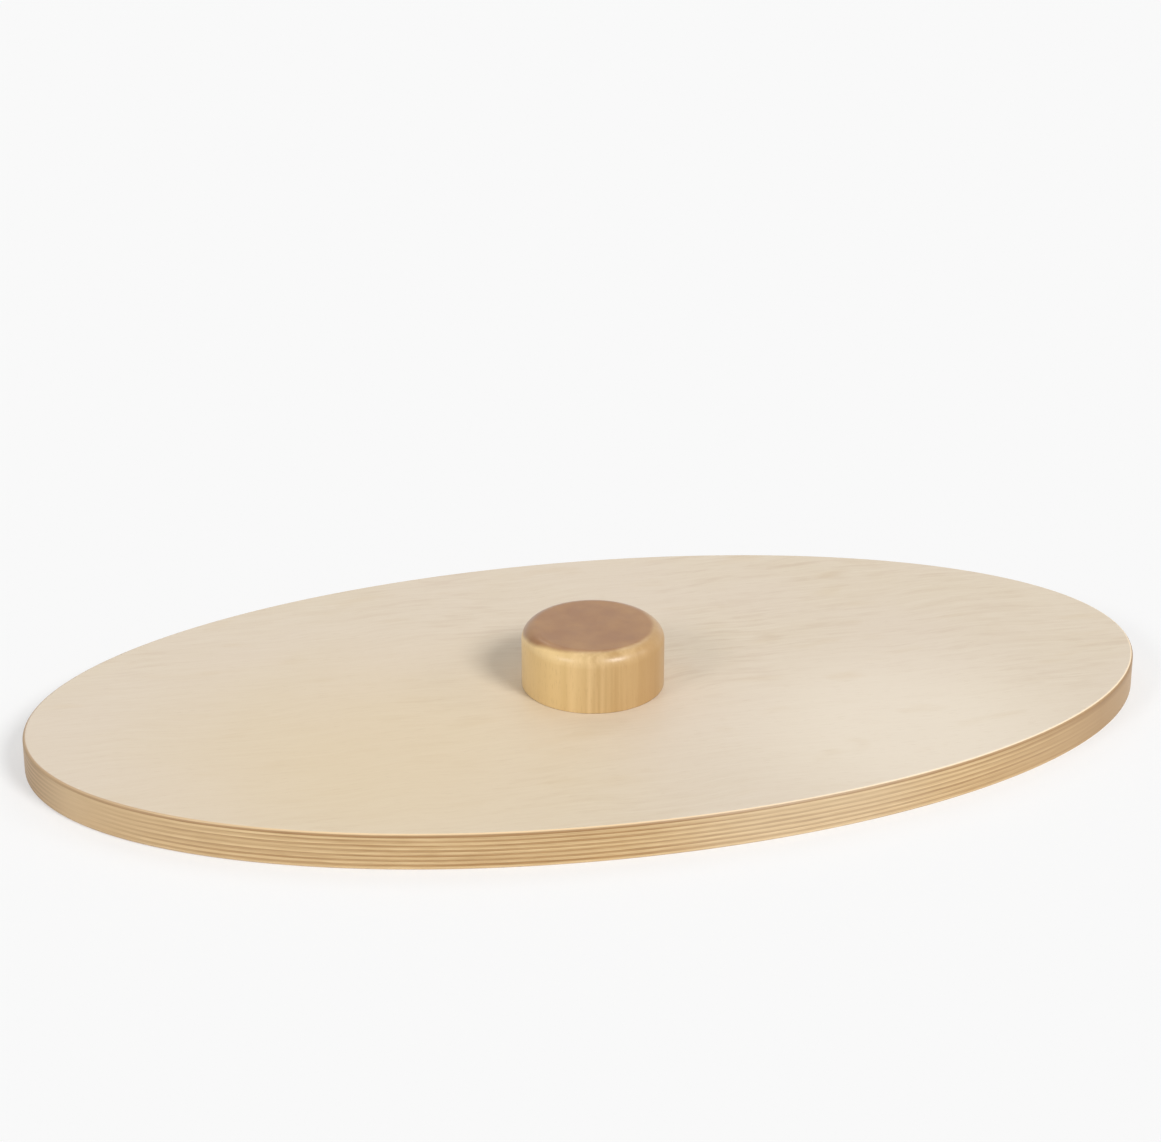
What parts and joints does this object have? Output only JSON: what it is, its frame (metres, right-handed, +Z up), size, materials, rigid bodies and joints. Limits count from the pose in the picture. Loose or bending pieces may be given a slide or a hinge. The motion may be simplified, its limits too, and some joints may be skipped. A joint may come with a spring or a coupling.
{
  "type": "maze balance board",
  "caption": "Oval plywood balance board on a turned beech rocker foot, with a routed ring maze under a clear cover and loose steel balls.",
  "frame": {"origin": "middle of the maze face, which the board lies on as pictured", "axes": "+X along the oval's long axis, +Y along its short axis, +Z up out of the underside, towards the rocker foot"},
  "size_m": [0.635, 0.33, 0.0563],
  "materials": {
    "birch_plywood": "clear satin lacquer",
    "turned_beech": "clear gloss lacquer",
    "clear_acrylic": "clear, polished",
    "zinc_plated_steel": "bright zinc plated",
    "yellow_zinc_steel": "yellow zinc plated",
    "dowel_beech": "bare",
    "polished_steel": "polished"
  },
  "bodies": {
    "board": {"board": "birch_plywood", "rocker_foot": "turned_beech", "maze_cover": "clear_acrylic", "foot_dowel": "dowel_beech", "foot_screw_1": "yellow_zinc_steel", "foot_screw_2": "yellow_zinc_steel", "foot_screw_3": "yellow_zinc_steel", "cover_screw_1": "zinc_plated_steel", "cover_screw_2": "zinc_plated_steel", "cover_screw_3": "zinc_plated_steel", "cover_screw_4": "zinc_plated_steel", "cover_screw_5": "zinc_plated_steel", "cover_screw_6": "zinc_plated_steel", "cover_screw_7": "zinc_plated_steel", "cover_screw_8": "zinc_plated_steel"},
    "inner_ball": {"ball_inner": "polished_steel"},
    "middle_ball": {"ball_middle": "polished_steel"},
    "outer_ball": {"ball_outer": "polished_steel"}
  },
  "joints": [
    {"name": "inner_ring_roll", "type": "hinge", "parent": "board", "child": "inner_ball", "pos_m": [0, 0, 0.0077], "axis": [0, 0, 1], "range_deg": [-110, 230]},
    {"name": "middle_ring_roll", "type": "hinge", "parent": "board", "child": "middle_ball", "pos_m": [0, 0, 0.0077], "axis": [0, 0, 1], "range_deg": [-83, 83]},
    {"name": "outer_ring_roll", "type": "hinge", "parent": "board", "child": "outer_ball", "pos_m": [0, 0, 0.0077], "axis": [0, 0, 1], "range_deg": [-174.5, 174.5]}
  ]
}
